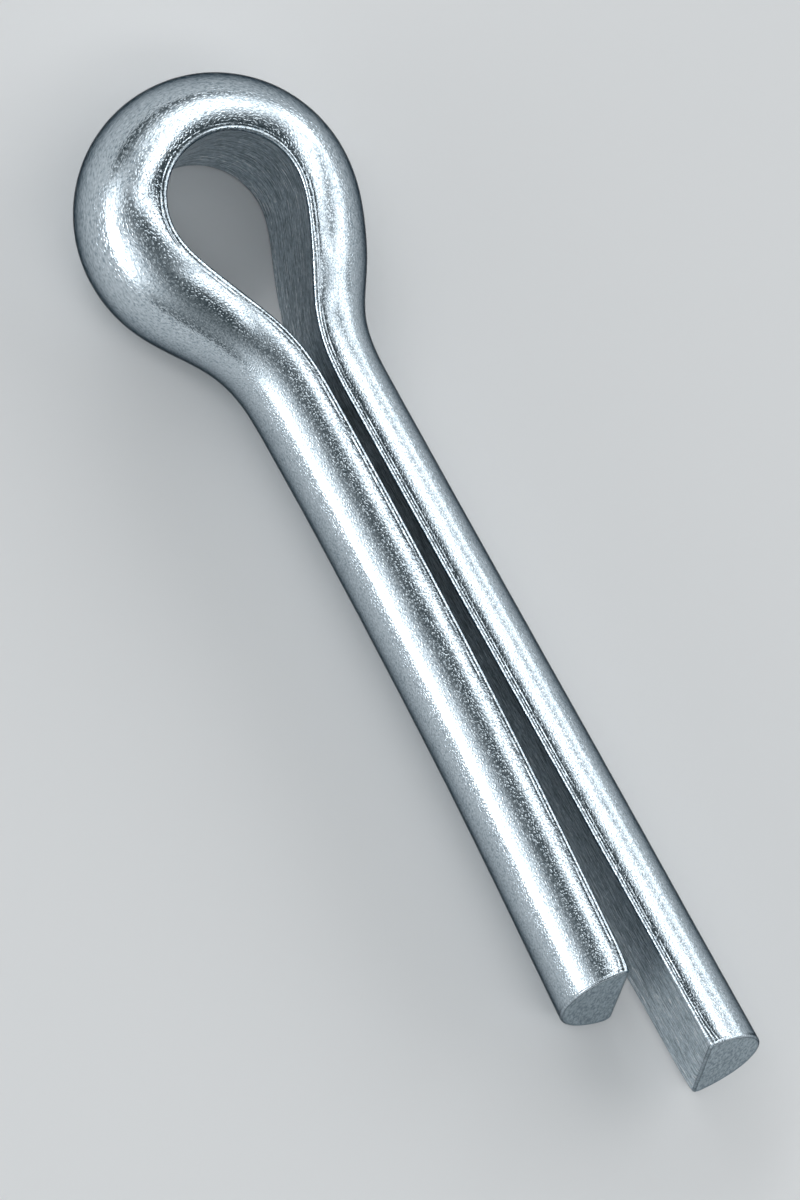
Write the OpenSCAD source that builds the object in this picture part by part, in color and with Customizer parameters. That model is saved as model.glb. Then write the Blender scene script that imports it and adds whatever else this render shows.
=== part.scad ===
// Cotter pin: one length of half-round wire, folded round an eye into two legs with their flat sides inward.
// +X runs from the eye to the tips, +Y is the side of the long leg, and +Z is square to the eye.
// The origin is the centre of the eye, halfway through the width of the wire.
// Lengths are in millimetres and angles in degrees.

/* [Wire] */
// Diameter of the wire's round back in the legs, and so of the shank that the two legs form
shank_d = 5.8; // [4:0.1:8]
// Thickness of the wire in the legs, from the flat side to the round back
wire_t = 2.75; // [1.8:0.05:3.2]
// Radius of the two long edges of the flat side
edge_r = 0.4; // [0.1:0.05:0.6]

/* [Eye] */
// Radius of the round part of the eye's opening
eye_r = 2.93; // [2.2:0.01:5]
// Thickness of the wire round the eye, where folding has swollen it
eye_wire_t = 3.2; // [2.7:0.05:3.6]
// Diameter of the wire's round back round the eye, where folding has spread it
eye_back_d = 7.5; // [6:0.1:9]
// Length of the long side's straight stretch that keeps the eye's section
long_flank = 2.3; // [0.5:0.1:5]
// Length over which the long side then shrinks to the legs' section
long_taper = 2.1; // [1:0.1:5]
// Length of the short side's straight stretch that keeps the eye's section
short_flank = 0.1; // [0.1:0.1:5]
// Length over which the short side then shrinks to the legs' section
short_taper = 3.1; // [1:0.1:5]
// Radius of the neck that turns the long side into its leg, on the flat side of the wire
long_neck_r = 8.1; // [4.5:0.1:14]
// Radius of the neck that turns the short side into its leg, on the flat side of the wire
short_neck_r = 8.3; // [4.5:0.1:14]

/* [Legs] */
// Distance from the middle plane to the long leg's flat side
long_gap = 0.28; // [0.05:0.01:0.6]
// Distance from the middle plane to the short leg's flat side, where the leg leaves its neck
short_gap = 0.17; // [0.05:0.01:0.6]
// Length of the long leg along its flat side, from neck to tip
long_leg = 32.5; // [20:0.1:60]
// Length of the short leg along its flat side, from neck to tip
short_leg = 28.5; // [20:0.1:60]
// Length of the short leg's straight start, before the gentle bow that turns the leg outward
bow_start = 1; // [0.5:0.1:6]
// Length of the short leg's straight end, from the bow to the tip
bow_end = 5.1; // [2:0.1:12]
// Angle through which the bow turns the short leg
bow_angle = 3.6; // [0.5:0.05:8]

/* [Tips] */
// Lean of the sheared faces of both tips, which turns them towards the top
tip_lean_angle = 11; // [0:0.5:20]
// Skew of the sheared faces of both tips, which turns them towards the short leg's side
tip_skew_angle = 5.5; // [-10:0.5:10]

/* [Hidden] */
$fn = 96;
pin_colour = [0.64, 0.67, 0.71];
// The bends are thicker than the straight stretches by this much all round, as folding leaves them,
// and the straight stretches run this far into them, so that no two curved surfaces only graze each other.
shoulder = 0.02;
lap = 0.1;
back_steps = 40;
edge_steps = 8;
// Radius of the bow on the flat side of the wire
bow_r = (short_leg - bow_start - bow_end) / bow_angle * 180 / PI;
// Distance from the eye's centre to the flat side of a flank where it leaves the round part
flank_r = eye_r + shoulder;

// Radius of the path that a bend follows between the flat sides of the straight stretches at its ends
function path_r(flat_r) = flat_r - shoulder;

// Direction from the eye's centre in which its round part ends, so that the neck ends on its leg's flat side
function leave_angle(flank, neck_r, gap) =
    let (across = flank_r + path_r(neck_r))
    asin((path_r(neck_r) + gap) / norm([across, flank])) + atan2(flank, across);

// Distance from the flat side to the centre of the back's arc, which lies a little behind it
function back_x(back_d, t) = t - back_d / 2;

// Distance from the middle of the width to the centre of an edge's round, which touches flat side and back
function edge_y(back_d, t) = sqrt((back_d / 2 - edge_r) ^ 2 - (edge_r - back_x(back_d, t)) ^ 2);

// Direction from the back's centre to the point where the back runs into an edge's round
function blend(back_d, t) = atan2(edge_y(back_d, t), edge_r - back_x(back_d, t));

// Points on an arc
function arc(centre, r, from, to, steps) =
    [for (i = [0:steps]) let (a = from + (to - from) * i / steps) centre + r * [cos(a), sin(a)]];

long_leave = leave_angle(long_flank + long_taper, long_neck_r, long_gap);
short_leave = leave_angle(short_flank + short_taper, short_neck_r, short_gap);

// The wire's section, flat side on the Y axis and back towards +X, scaled so that its thickness grows
module section(back_d, t, grow) {
    back_r = back_d / 2;
    back_x = back_x(back_d, t);
    edge_y = edge_y(back_d, t);
    blend = blend(back_d, t);
    blend_point = [back_x + back_r * cos(blend), back_r * sin(blend)];
    scale(1 + grow / t) {
        intersection() {
            translate([back_x, 0]) circle(r = back_r);
            translate([blend_point.x, -back_d]) square([back_d, 2 * back_d]);
        }
        for (side = [-1, 1]) {
            translate([edge_r, side * edge_y]) circle(r = edge_r);
        }
        polygon([[0, -edge_y], [blend_point.x, -blend_point.y], blend_point, [0, edge_y]]);
    }
}

// A short block of the same section along +X, in flat faces
module block(back_d, t, grow) {
    edge_y = edge_y(back_d, t);
    blend = blend(back_d, t);
    rotate([90, 0, 90]) linear_extrude(lap) scale(1 + grow / t) polygon(concat(
        arc([back_x(back_d, t), 0], back_d / 2, -blend, blend, back_steps),
        arc([edge_r, edge_y], edge_r, blend, 180, edge_steps),
        arc([edge_r, -edge_y], edge_r, -180, -blend, edge_steps)
    ));
}

// A straight stretch of leg along +X from the origin, with what follows it placed at its far end
module straight(length) {
    translate([-lap, 0, 0]) rotate([90, 0, 90]) linear_extrude(length + 2 * lap) section(shank_d, wire_t, 0);
    translate([length, 0, 0]) children();
}

// A straight flank just inside the eye's section, a taper from it to the legs' section, and what follows them
module flank(length, taper) {
    translate([-lap, 0, 0]) rotate([90, 0, 90])
        linear_extrude(length + 2 * lap) section(eye_back_d, eye_wire_t, -2 * shoulder);
    translate([length, shoulder, 0]) hull() {
        block(eye_back_d, eye_wire_t, -4 * shoulder);
        translate([taper, 0, 0]) block(shank_d, wire_t, -2 * shoulder);
    }
    translate([length + taper, 0, 0]) children();
}

// A bend from the origin towards +Y with its flat side outward, and what follows it placed at its far end
module bend(flat_r, angle) {
    r = path_r(flat_r);
    translate([0, r, 0]) rotate_extrude(start = -90, angle = angle)
        translate([flat_r, 0]) mirror([1, 0]) section(shank_d, wire_t, 2 * shoulder);
    translate([r * sin(angle), r * (1 - cos(angle)), 0]) rotate(angle) children();
}

// The straight end of a leg, up to its sheared face
module leg_end(length, skew) {
    cutter = 4 * shank_d;
    difference() {
        straight(length + shank_d);
        translate([length, 0, 0]) rotate([0, -tip_lean_angle, skew])
            translate([0, -cutter / 2, -cutter / 2]) cube(cutter);
    }
}

// The round part of the eye
module eye_round() {
    rotate_extrude(start = long_leave, angle = 360 - long_leave - short_leave)
        translate([eye_r, 0]) section(eye_back_d, eye_wire_t, 0);
}

// Flank and neck on the +Y side, from the end of the eye's round part, with the leg placed after them
module flank_and_neck(leave, length, taper, neck_r) {
    rotate(leave) translate([flank_r, 0, 0]) rotate(-90)
        flank(length, taper) bend(neck_r, 90 - leave) children();
}

module cotter_pin() {
    color(pin_colour) {
        eye_round();
        flank_and_neck(long_leave, long_flank, long_taper, long_neck_r) leg_end(long_leg, -tip_skew_angle);
        mirror([0, 1, 0]) flank_and_neck(short_leave, short_flank, short_taper, short_neck_r)
            straight(bow_start) bend(bow_r, bow_angle) leg_end(bow_end, tip_skew_angle);
    }
}

cotter_pin();
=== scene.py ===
"""Looks of the cotter pin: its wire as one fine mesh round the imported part, with floor, camera and light."""
import math

import bpy
import numpy as np
from mathutils import Matrix, Vector


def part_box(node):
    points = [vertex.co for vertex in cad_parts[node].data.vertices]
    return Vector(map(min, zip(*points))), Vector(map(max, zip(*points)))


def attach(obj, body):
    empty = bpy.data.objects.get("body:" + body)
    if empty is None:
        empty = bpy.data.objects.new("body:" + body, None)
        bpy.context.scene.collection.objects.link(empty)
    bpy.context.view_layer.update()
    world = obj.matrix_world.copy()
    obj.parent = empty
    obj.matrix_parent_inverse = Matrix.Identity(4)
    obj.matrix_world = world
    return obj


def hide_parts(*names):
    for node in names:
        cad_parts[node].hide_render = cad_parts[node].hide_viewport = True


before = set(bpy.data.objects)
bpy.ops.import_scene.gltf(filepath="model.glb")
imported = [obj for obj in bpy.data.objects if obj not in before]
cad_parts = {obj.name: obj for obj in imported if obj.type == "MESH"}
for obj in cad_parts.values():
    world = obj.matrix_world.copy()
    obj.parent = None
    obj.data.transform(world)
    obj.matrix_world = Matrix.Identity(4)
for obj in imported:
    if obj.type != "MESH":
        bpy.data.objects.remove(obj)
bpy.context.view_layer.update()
box_low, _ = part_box("cotter_pin")

MM = 0.001
SEED = 7

# ---------------------------------------------------------------- sizes, in mm and degrees
# The path and the section are those of part.scad, a hair inside it, but with sharper long edges
EDGE_R = 0.22
TIP_EDGE_R, TIP_EDGE_REACH = 0.38, 1.6      # round of the long edges at the tips, and how far it reaches
LEG_BACK_D, LEG_T = 5.8, 2.75
EYE_BACK_D, EYE_T = 7.37, 3.17
EYE_R = 2.95
LONG = dict(side=1, flank=2.3, taper=2.1, neck_r=8.08, gap=0.28, leg=32.48, bow=0.0, skew=-5.5)
SHORT = dict(side=-1, flank=0.1, taper=3.1, neck_r=8.28, gap=0.17, leg=28.48,
             bow_start=1.0, bow_end=5.1, bow=3.6, skew=5.5)
BEND_BLEND = 0.8        # how softly one bend passes into the next
TIP_LEAN = 11.0
LEAN_REACH = 5.0        # length over which the rings lean over into a sheared tip's plane
RIM_R = 0.11            # round of the rims of the sheared tips
DENT_DEPTH = 0.03       # dent close behind each rim
CAP_INSET = 0.03        # depth of the sheared faces behind their rims
WAVES = ((0.005, 2.5, 1.2), (0.0012, 0.3, 0.25))    # reliefs: height, and length along and round the wire
WAVES_LEVEL = 0.012     # level that the relief varies about, below the true surface
GROOVE_DEPTH, GROOVE_AT, GROOVE_WIDTH = 0.010, 0.07, 0.035      # groove on the back beside each long edge
# How unevenly groove and dent are pressed in: mean share of the depth, its spread, the most,
# and the length of the unevenness along and round the wire
GROOVE_UNEVEN = (0.7, 0.5, 1.5, 0.25, 0.4)
DENT_UNEVEN = (0.8, 0.6, 1.6, 0.2, 0.5)

# ---------------------------------------------------------------- mesh densities
STEP = 0.13             # station spacing along the wire
FINE = 0.01             # step of the path's integration
BLUR_REACH = 4          # how far a blur along the path reaches, in its widths
NEAR_EDGE = (0.0, 0.03, 0.06, 0.09, 0.12, 0.16, 0.22, 0.32, 0.46)   # points on the back, from an edge's round
BACK_STEPS, EDGE_STEPS, FLAT_STEPS = 50, 8, 26
RIM_TURNS = (30, 60, 90)
CAP_SHARES = (0.97, 0.93, 0.8, 0.6, 0.4, 0.2)       # rings of a sheared face, as shares of its rim

# Zones of the mesh, in the order of its materials
BACK, FLAT, SHEARED = 0, 1, 2


# ---------------------------------------------------------------- path
def leave_angle(side):
    """Direction from the eye's centre in which its round part ends."""
    across, flank = EYE_R + side["neck_r"], side["flank"] + side["taper"]
    return math.asin((side["neck_r"] + side["gap"]) / math.hypot(across, flank)) + math.atan2(flank, across)


def smooth(values, width):
    """values, evenly spaced by FINE, blurred by a Gaussian of that width; the ends are held."""
    reach = int(BLUR_REACH * width / FINE)
    kernel = np.exp(-0.5 * (np.arange(-reach, reach + 1) * FINE / width) ** 2)
    padded = np.concatenate([np.full(reach, values[0]), values, np.full(reach, values[-1])])
    return np.convolve(padded, kernel / kernel.sum(), "valid")


def follow(turn):
    """Points and headings of a path with that turn per mm at each fine step, from the eye's far point."""
    heading = math.pi / 2 + np.concatenate([[0], np.cumsum((turn[1:] + turn[:-1]) / 2) * FINE])
    step = np.stack([np.cos(heading), np.sin(heading)], 1)
    points = np.concatenate([[[0, 0]], np.cumsum((step[1:] + step[:-1]) / 2, axis=0) * FINE])
    return points - [EYE_R, 0], heading


def half_path(side):
    """Fine samples of the flat side's path from the eye's far point to one tip, drawn on the +Y side:
    distance, point, heading, and share of the leg's section."""
    leave = leave_angle(side)
    bends = [(EYE_R * (math.pi - leave), -1 / EYE_R), (side["flank"] + side["taper"], 0.0),
             (side["neck_r"] * (math.pi / 2 - leave), 1 / side["neck_r"])]
    taper_at = bends[0][0] + side["flank"]
    if side["bow"]:
        bow_length = side["leg"] - side["bow_start"] - side["bow_end"]
        bends += [(side["bow_start"], 0.0), (bow_length, math.radians(side["bow"]) / bow_length),
                  (side["bow_end"], 0.0)]
    else:
        bends.append((side["leg"], 0.0))
    ends = np.cumsum([length for length, _ in bends])
    s = np.arange(0, ends[-1] + FINE / 2, FINE)
    which = np.minimum(np.searchsorted(ends, s, "right"), len(bends) - 1)
    turn = np.array([turn for _, turn in bends])[which]
    sharp, _ = follow(turn)
    soft, heading = follow(smooth(turn, BEND_BLEND))
    # softer bends would leave the leg a little aside, so that the eye's side takes up the difference
    along_eye = np.clip(s / ends[2], 0, 1)[:, None]
    soft += (sharp[-1] - soft[-1]) * along_eye ** 2 * (3 - 2 * along_eye)
    share = smooth(np.clip((s - taper_at) / side["taper"], 0, 1), BEND_BLEND)
    return s, soft, heading, share


def stations(side):
    """Rows from the eye's far point to one tip: distance along the wire, point, heading, direction away from
    the flat side, and share of the leg's section."""
    s, points, headings, shares = half_path(side)
    at = np.linspace(0, s[-1], int(round(s[-1] / STEP)) + 1)
    x, y, heading, share = (np.interp(at, s, v) for v in (points[:, 0], points[:, 1], headings, shares))
    up = side["side"]
    cos, sin = np.cos(heading), np.sin(heading)
    return np.stack([-up * at, x, up * y, cos, up * sin, -sin, up * cos, share], 1)


# ---------------------------------------------------------------- section
def section_outline(back_d, t, edge_r=EDGE_R):
    """Closed outline of the wire's section: (away from the flat side, across), and its outward normals."""
    back_r, back_x = back_d / 2, t - back_d / 2
    edge_y = math.sqrt((back_r - edge_r) ** 2 - (edge_r - back_x) ** 2)
    blend = math.atan2(edge_y, edge_r - back_x)
    points, outward = [], []

    def arc(x, y, r, turns):
        for turn in turns:
            points.append((x + r * math.cos(turn), y + r * math.sin(turn)))
            outward.append((math.cos(turn), math.sin(turn)))

    near = np.array(NEAR_EDGE) / back_r
    middle = np.linspace(near[-1] - blend, blend - near[-1], BACK_STEPS)[1:-1]
    arc(back_x, 0, back_r, np.concatenate([near - blend, middle, (blend - near)[:0:-1]]))
    arc(edge_r, edge_y, edge_r, np.linspace(blend, math.pi, EDGE_STEPS, endpoint=False))
    for i in range(FLAT_STEPS):
        points.append((0.0, edge_y - 2 * edge_y * i / FLAT_STEPS))
        outward.append((-1.0, 0.0))
    arc(edge_r, -edge_y, edge_r, np.linspace(math.pi, 2 * math.pi - blend, EDGE_STEPS, endpoint=False))
    return np.array(points), np.array(outward)


back_count = 2 * len(NEAR_EDGE) + BACK_STEPS - 3        # steps of the outline along the back
flat_from, flat_to = back_count + EDGE_STEPS, back_count + EDGE_STEPS + FLAT_STEPS
leg_points, leg_outward = section_outline(LEG_BACK_D, LEG_T)
eye_points, eye_outward = section_outline(EYE_BACK_D, EYE_T)
tip_points, tip_outward = section_outline(LEG_BACK_D, LEG_T, TIP_EDGE_R)
outline_steps = np.linalg.norm(np.roll(leg_points, -1, 0) - leg_points, axis=1)
around, girth = np.concatenate([[0], np.cumsum(outline_steps)[:-1]]), outline_steps.sum()

# ---------------------------------------------------------------- wire, from the long tip to the short tip
rows = np.concatenate([stations(LONG)[:0:-1], stations(SHORT)])
along, path, toward_tip, away, leg_share = rows[:, 0], rows[:, 1:3], rows[:, 3:5], rows[:, 5:7], rows[:, 7]
n_s, n_t = len(rows), len(leg_points)
wire_length = along[-1] - along[0]

from_tip = np.minimum(along - along[0], along[-1] - along)
tip_share = (np.clip(1 - from_tip / TIP_EDGE_REACH, 0, 1) ** 2)[:, None, None]
leg_share = leg_share[:, None, None]


def swept(eye, leg, tip):
    """One value per point of the section, blended along the wire between eye, leg and tip."""
    return eye + (leg - eye) * leg_share + (tip - leg) * tip_share


def placed(values):
    """(away from the flat side, across) at each station, as vectors of the frame."""
    return np.dstack([away[:, :1] * values[:, :, 0], away[:, 1:] * values[:, :, 0], values[:, :, 1]])


verts = placed(swept(eye_points, leg_points, tip_points))
verts[:, :, :2] += path[:, None, :]
normals = swept(eye_outward, leg_outward, tip_outward)
normals = placed(normals / np.linalg.norm(normals, axis=2)[:, :, None])

# each ring near a tip leans over into the plane of its sheared face
for tip, skew in ((0, math.radians(LONG["skew"])), (-1, math.radians(SHORT["skew"]))):
    lean = np.clip(1 - np.abs(along - along[tip]) / LEAN_REACH, 0, 1)
    forward = (-leg_points[:, 0] * math.tan(skew)
               - leg_points[:, 1] * math.tan(math.radians(TIP_LEAN)) / math.cos(skew))
    verts[:, :, :2] += toward_tip[:, None, :] * forward[None, :, None] * lean[:, None, None]

# ---------------------------------------------------------------- relief
rng = np.random.default_rng(SEED)


def relief(length_along, length_round):
    """Smooth random relief over the wire, of spread 1 and with those correlation lengths."""
    noise = rng.standard_normal((n_s, n_t))
    f_along = np.fft.fftfreq(n_s, wire_length / n_s)[:, None]
    f_round = np.fft.fftfreq(n_t, girth / n_t)[None, :]
    low = np.exp(-2 * (math.pi ** 2) * ((f_along * length_along) ** 2 + (f_round * length_round) ** 2))
    out = np.real(np.fft.ifft2(np.fft.fft2(noise) * low))
    even = np.arange(n_t) * girth / n_t
    return np.stack([np.interp(around, even, row, period=girth) for row in out]) / out.std()


def uneven(mean, spread, most, *lengths):
    """A share over the wire that varies about mean with that spread and lengths, between 0 and most."""
    return np.clip(mean + spread * relief(*lengths), 0, most)


waves = sum(height * relief(*lengths) for height, *lengths in WAVES)
# a groove runs along the back close beside each long edge, uneven in depth, as the drawing die leaves it
from_edge = np.minimum(around, np.abs(around[back_count] - around))
groove = np.where(np.arange(n_t) < back_count, np.exp(-((from_edge - GROOVE_AT) / GROOVE_WIDTH) ** 2), 0)
groove = GROOVE_DEPTH * groove[None, :] * uneven(*GROOVE_UNEVEN)
sink = np.clip(waves + WAVES_LEVEL, 0, None) + groove
# the shear leaves a dent close behind each tip's rim
dent = DENT_DEPTH * uneven(*DENT_UNEVEN)
for ring in (1, -2):
    sink[ring] += dent[ring]
verts -= normals * sink[:, :, None]
# the rims of the tips are rounded: the last ring steps back, and the cap's first rings roll over
for ring in (0, -1):
    verts[ring, :, :2] -= toward_tip[ring] * RIM_R

# ---------------------------------------------------------------- mesh
round_pairs = [(j, (j + 1) % n_t) for j in range(n_t)]
all_verts = [tuple(v * MM) for v in verts.reshape(-1, 3)]
faces = [(i * n_t + j, (i + 1) * n_t + j, (i + 1) * n_t + k, i * n_t + k)
         for i in range(n_s - 1) for j, k in round_pairs]
zones = [FLAT if flat_from <= j < flat_to else BACK for j in range(n_t)] * (n_s - 1)


def cap(i, flip):
    """Closes the wire's end at that station with a rolled rim and a face a little behind it, and gives the
    number of the first new vertex."""
    first = len(all_verts)
    outward = np.array([*toward_tip[i], 0.0])
    rings = []
    for turn in map(math.radians, RIM_TURNS):
        rolled = verts[i] - normals[i] * RIM_R * (1 - math.cos(turn)) + outward * RIM_R * math.sin(turn)
        rings.append((rolled, BACK))
    rim = rings[-1][0]
    middle = rim.mean(0)
    rings += [(middle + (rim - middle) * share - outward * CAP_INSET, SHEARED) for share in CAP_SHARES]

    def add(face, zone):
        faces.append(face if flip else face[::-1])
        zones.append(zone)

    before = [i * n_t + j for j in range(n_t)]
    for points, zone in rings:
        here = [len(all_verts) + j for j in range(n_t)]
        all_verts.extend(tuple(point * MM) for point in points)
        for j, k in round_pairs:
            add((before[j], before[k], here[k], here[j]), zone)
        before = here
    centre = len(all_verts)
    all_verts.append(tuple((middle - outward * CAP_INSET) * MM))
    for j, k in round_pairs:
        add((before[j], before[k], centre), SHEARED)
    return first


caps = [(cap(0, True), 0), (cap(n_s - 1, False), n_s - 1)]

mesh = bpy.data.meshes.new("cotter_pin_wire")
mesh.from_pydata(all_verts, [], faces)
mesh.polygons.foreach_set("material_index", zones)
mesh.polygons.foreach_set("use_smooth", [True] * len(faces))
mesh.update()
pin = bpy.data.objects.new("pin_wire", mesh)
bpy.context.scene.collection.objects.link(pin)


def add_wire_coordinates():
    """Seamless coordinates in mm for the textures: along the wire, and round it as on a cylinder of its girth.
    A sheared face has its place in the frame instead, and its rim carries on the wire's."""
    radius = girth / math.tau
    turn = math.tau * around / girth
    grid = np.zeros((n_s, n_t, 3))
    grid[:, :, 0] = along[:, None]
    grid[:, :, 1] = radius * np.cos(turn)[None, :]
    grid[:, :, 2] = radius * np.sin(turn)[None, :]
    values = np.array(all_verts) / MM
    values[:n_s * n_t] = grid.reshape(-1, 3)
    for first, i in caps:
        for ring in range(len(RIM_TURNS)):
            values[first + ring * n_t:first + (ring + 1) * n_t] = grid[i]
    attribute = mesh.attributes.new("wire", "FLOAT_VECTOR", "POINT")
    attribute.data.foreach_set("vector", values.astype(np.float32).ravel())


add_wire_coordinates()


# ---------------------------------------------------------------- materials
class Nodes:
    """Shorthand for one metal's nodes."""

    def __init__(self, name):
        self.material = bpy.data.materials.new(name)
        self.material.use_nodes = True
        self.tree = self.material.node_tree
        self.shader = self.tree.nodes["Principled BSDF"]
        self.shader.inputs["Metallic"].default_value = 1.0

    def new(self, kind, **settings):
        node = self.tree.nodes.new(kind)
        for key, value in settings.items():
            setattr(node, key, value)
        return node

    def link(self, out, into):
        self.tree.links.new(out, into)

    def noise(self, stretch, scale, detail, roughness=0.6):
        """Noise over the wire's coordinates times stretch, a number per axis: along, and two across."""
        source = self.new("ShaderNodeAttribute", attribute_name="wire")
        scaled = self.new("ShaderNodeVectorMath", operation="MULTIPLY")
        scaled.inputs[1].default_value = stretch
        self.link(source.outputs["Vector"], scaled.inputs[0])
        node = self.new("ShaderNodeTexNoise")
        node.inputs["Scale"].default_value = scale
        node.inputs["Detail"].default_value = detail
        node.inputs["Roughness"].default_value = roughness
        self.link(scaled.outputs[0], node.inputs["Vector"])
        return node.outputs["Fac"]

    def ramp(self, fac, *stops):
        """A ramp over fac of (place, colour or grey) stops."""
        node = self.new("ShaderNodeValToRGB")
        elements = node.color_ramp.elements
        elements[0].position, elements[1].position = stops[0][0], stops[-1][0]
        for place, _ in stops[1:-1]:
            elements.new(place)
        for element, (_, value) in zip(elements, stops):
            element.color = (*value, 1) if isinstance(value, tuple) else (value, value, value, 1)
        self.link(fac, node.inputs[0])
        return node.outputs[0]

    def mixed(self, first, second, share):
        """The values first and second, added with second's share."""
        parts = []
        for value, factor in ((first, 1 - share), (second, share)):
            node = self.new("ShaderNodeMath", operation="MULTIPLY")
            self.link(value, node.inputs[0])
            node.inputs[1].default_value = factor
            parts.append(node)
        total = self.new("ShaderNodeMath", operation="ADD")
        for part, socket in zip(parts, total.inputs):
            self.link(part.outputs[0], socket)
        return total.outputs[0]

    def bump(self, height, distance_mm, strength=1.0):
        node = self.new("ShaderNodeBump")
        node.inputs["Strength"].default_value = strength
        node.inputs["Distance"].default_value = distance_mm * MM
        self.link(height, node.inputs["Height"])
        self.link(node.outputs[0], self.shader.inputs["Normal"])


def zinc_back():
    """Bright blue-white zinc on the round back: a fine speckled grain, raised flecks and faint clouds."""
    n = Nodes("zinc_back")
    n.shader.inputs["Specular Tint"].default_value = (0.04, 0.05, 0.06, 1)      # darker where seen at a slant
    grain = n.noise(stretch=(0.8, 1, 1), scale=13.0, detail=1.0)
    clouds = n.noise(stretch=(0.4, 1, 1), scale=0.9, detail=3.0)
    colour = n.ramp(n.mixed(grain, clouds, share=0.15),
                    (0.36, (0.36, 0.43, 0.48)), (0.45, (0.53, 0.60, 0.65)),
                    (0.57, (0.61, 0.685, 0.74)), (0.7, (0.74, 0.81, 0.86)))
    n.link(colour, n.shader.inputs["Base Color"])
    flecks = n.noise(stretch=(0.8, 1, 1), scale=15.0, detail=0.0, roughness=0.5)
    n.link(n.ramp(flecks, (0.42, 0.10), (0.56, 0.12), (0.68, 0.26)), n.shader.inputs["Roughness"])
    raised = n.ramp(flecks, (0.54, 0.0), (0.72, 1.0))
    n.bump(n.mixed(grain, raised, share=0.5), distance_mm=0.0075)
    return n.material


def zinc_flat_painted_shade():
    """Zinc on the flat side, rougher than the back, with drawing lines along the wire; its colour is darker
    than the back's as painted shade for the flats that face each other in the slit and the eye.
    """
    n = Nodes("zinc_flat_painted_shade")
    lines = n.noise(stretch=(0.10, 1, 1), scale=11.0, detail=2.0)
    grain = n.noise(stretch=(0.5, 1, 1), scale=10.0, detail=2.0)
    marks = n.mixed(lines, grain, share=0.4)
    # painted shade: this ramp is darker than the back's, to darken the flats in the slit and the eye; its
    # bright end gives the drawing lines
    colour = n.ramp(marks, (0.38, (0.20, 0.255, 0.29)), (0.5, (0.42, 0.505, 0.56)),
                    (0.58, (0.60, 0.69, 0.75)), (0.64, (1.0, 1.0, 1.0)))
    n.link(colour, n.shader.inputs["Base Color"])
    n.link(n.ramp(marks, (0.35, 0.5), (0.65, 0.22)), n.shader.inputs["Roughness"])
    n.bump(marks, distance_mm=0.045)
    return n.material


def sheared():
    """Matte grey metal of the sheared tips, with a fine grain."""
    n = Nodes("sheared")
    grain = n.noise(stretch=(1, 1, 0.3), scale=9.0, detail=4.0, roughness=0.65)
    n.link(n.ramp(grain, (0.38, (0.19, 0.25, 0.29)), (0.62, (0.44, 0.52, 0.57))), n.shader.inputs["Base Color"])
    n.shader.inputs["Roughness"].default_value = 0.5
    n.bump(grain, distance_mm=0.03, strength=0.8)
    return n.material


for material in (zinc_back(), zinc_flat_painted_shade(), sheared()):
    mesh.materials.append(material)

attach(pin, "root")
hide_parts("cotter_pin")

# ---------------------------------------------------------------- floor
FLOOR_REACH = 2.0       # in metres
FLOOR_COLOUR = (0.75, 0.75, 0.75, 1)
FLOOR_ROUGHNESS = 0.9
corners = [(x * FLOOR_REACH, y * FLOOR_REACH, box_low.z) for x, y in ((-1, -1), (1, -1), (1, 1), (-1, 1))]
floor_mesh = bpy.data.meshes.new("floor")
floor_mesh.from_pydata(corners, [], [(0, 1, 2, 3)])
floor = bpy.data.objects.new("floor", floor_mesh)
bpy.context.scene.collection.objects.link(floor)
floor_material = bpy.data.materials.new("floor")
floor_material.use_nodes = True
floor_shader = floor_material.node_tree.nodes["Principled BSDF"]
floor_shader.inputs["Base Color"].default_value = FLOOR_COLOUR
floor_shader.inputs["Roughness"].default_value = FLOOR_ROUGHNESS
floor_mesh.materials.append(floor_material)

# ---------------------------------------------------------------- camera
# Fitted to the pin as the photograph shows it: lens and sensor in mm, place in metres
LENS, SENSOR_HEIGHT = 463.72, 24.0
CAMERA_AT = Vector((0.073872, -0.288750, 0.919741))
CAMERA_FORWARD = Vector((-0.058210, 0.297892, -0.952823))
CAMERA_RIGHT = Vector((0.486955, 0.841667, 0.233391))

camera_data = bpy.data.cameras.new("camera")
camera_data.sensor_fit = "VERTICAL"
camera_data.sensor_height = SENSOR_HEIGHT
camera_data.lens = LENS
camera = bpy.data.objects.new("camera", camera_data)
forward = CAMERA_FORWARD.normalized()
right = CAMERA_RIGHT.normalized()
right = (right - forward * right.dot(forward)).normalized()
turned = Matrix((right, right.cross(forward), -forward)).transposed().to_4x4()
camera.matrix_world = Matrix.Translation(CAMERA_AT) @ turned
bpy.context.scene.collection.objects.link(camera)
bpy.context.scene.camera = camera

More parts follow.
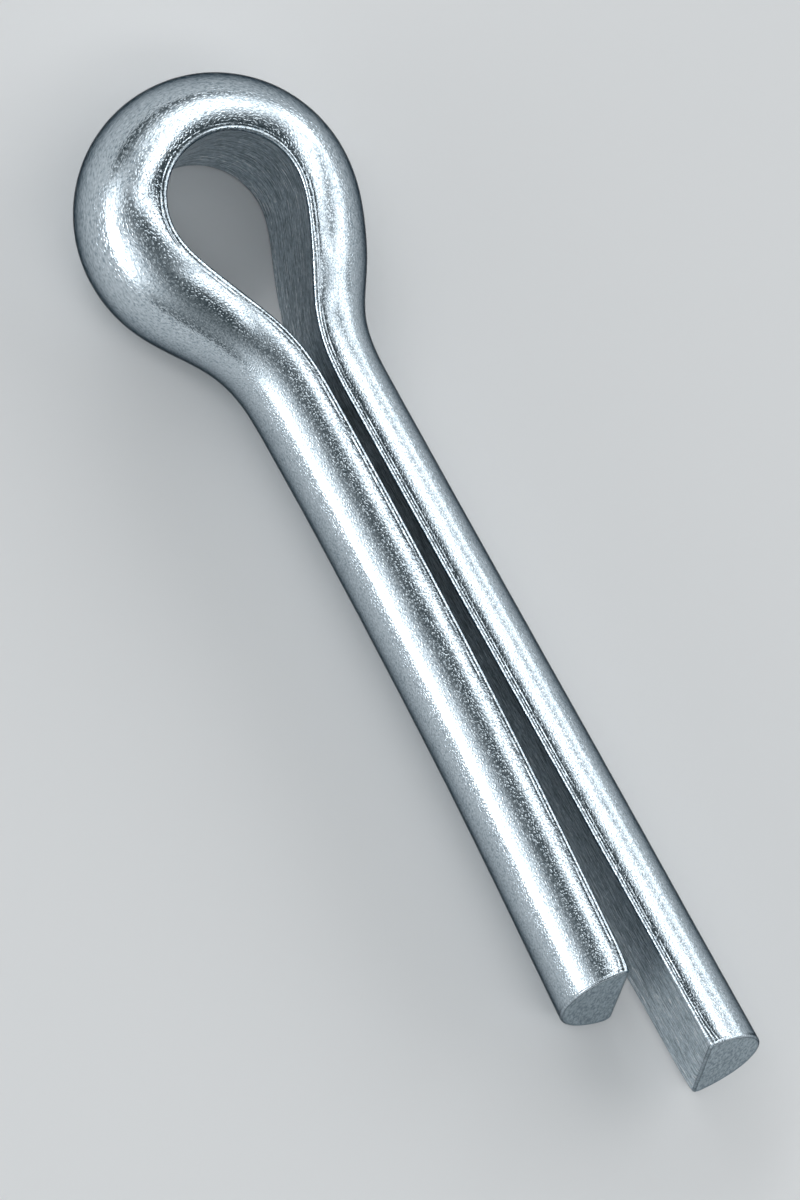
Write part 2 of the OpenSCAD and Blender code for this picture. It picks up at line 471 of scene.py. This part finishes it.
# ---------------------------------------------------------------- light
# The studio is a dim even sky with soft windows of light in it:
# azimuth, elevation and roll in degrees, half width and half height as sines, and brightness at the middle
SKY_STRENGTH = 0.08
SKY_COLOUR = (0.72, 0.93, 1.0, 1)
WINDOW_COLOUR = (0.97, 0.985, 1.0, 1)
WINDOWS = {
    "key_low": (148, 23, 17, 0.60, 0.20, 3.1),
    "key_high": (-174, 47, 17, 0.31, 0.10, 5.0),
    "key_top": (-123, 70, 63, 0.40, 0.085, 3.9),
    "left_low": (-116, 2, 20, 0.42, 0.12, 4.0),
    "left": (-100, 3, -10, 0.35, 0.15, 3.8),
    "left_far": (-134, 13, 0, 0.22, 0.16, 1.6),
    "left_high": (-98, 21, 20, 0.30, 0.28, 1.15),
    "right_high": (95, 31, -50, 0.28, 0.12, 3.8),
    "right_far": (62, 38, -130, 0.20, 0.14, 2.1),
    "right": (71, 13, -25, 0.50, 0.17, 2.6),
    "right_low": (106, 3, 165, 0.15, 0.15, 4.0),
    "front": (4, 58, 156, 0.34, 0.11, 3.6),
    "overhead": (-20, 78, 0, 0.32, 0.18, 0.8),
    "overhead_ridge": (20, 81, -65, 0.25, 0.12, 0.5),
    "left_front": (-72, 22, 0, 0.35, 0.28, 0.5),
    "front_low": (-38, 20, 0, 0.38, 0.26, 0.16),
}
FRONT_FADE = 8.0        # how fast a window fades in across the plane behind which it would have a twin

world = bpy.data.worlds.new("world")
bpy.context.scene.world = world
world.use_nodes = True
sky = world.node_tree
looking = sky.nodes.new("ShaderNodeTexCoord").outputs["Generated"]


def direction(azimuth, elevation):
    a, e = math.radians(azimuth), math.radians(elevation)
    return Vector((math.cos(a) * math.cos(e), math.sin(a) * math.cos(e), math.sin(e)))


def sky_dot(vector):
    node = sky.nodes.new("ShaderNodeVectorMath")
    node.operation = "DOT_PRODUCT"
    sky.links.new(looking, node.inputs[0])
    node.inputs[1].default_value = vector
    return node.outputs["Value"]


def sky_math(operation, *values, clamp=False):
    node = sky.nodes.new("ShaderNodeMath")
    node.operation = operation
    node.use_clamp = clamp
    for socket, value in zip(node.inputs, values):
        if isinstance(value, (int, float)):
            socket.default_value = value
        else:
            sky.links.new(value, socket)
    return node.outputs[0]


def with_window(before, azimuth, elevation, roll, width, height, brightness):
    """The brightness before, plus a window in that direction that fades out from its middle."""
    middle = direction(azimuth, elevation)
    level = Vector((0, 0, 1)).cross(middle).normalized()
    turn = math.radians(roll)
    across = level * math.cos(turn) + middle.cross(level) * math.sin(turn)
    u, w = sky_dot(across / width), sky_dot(middle.cross(across) / height)
    spread = sky_math("MULTIPLY_ADD", u, u, sky_math("MULTIPLY", w, w))
    ahead = sky_math("MULTIPLY", sky_dot(middle), FRONT_FADE, clamp=True)
    glow = sky_math("MULTIPLY", sky_math("POWER", math.exp(-1), spread), ahead)
    return sky_math("MULTIPLY_ADD", glow, brightness, before)


light = 0.0
for window in WINDOWS.values():
    light = with_window(light, *window)

dim = sky.nodes["Background"]
dim.inputs["Color"].default_value = SKY_COLOUR
dim.inputs["Strength"].default_value = SKY_STRENGTH
lit = sky.nodes.new("ShaderNodeBackground")
lit.inputs["Color"].default_value = WINDOW_COLOUR
sky.links.new(light, lit.inputs["Strength"])
both = sky.nodes.new("ShaderNodeAddShader")
sky.links.new(dim.outputs[0], both.inputs[0])
sky.links.new(lit.outputs[0], both.inputs[1])
sky.links.new(both.outputs[0], sky.nodes["World Output"].inputs["Surface"])

bpy.context.scene.view_settings.view_transform = "Standard"
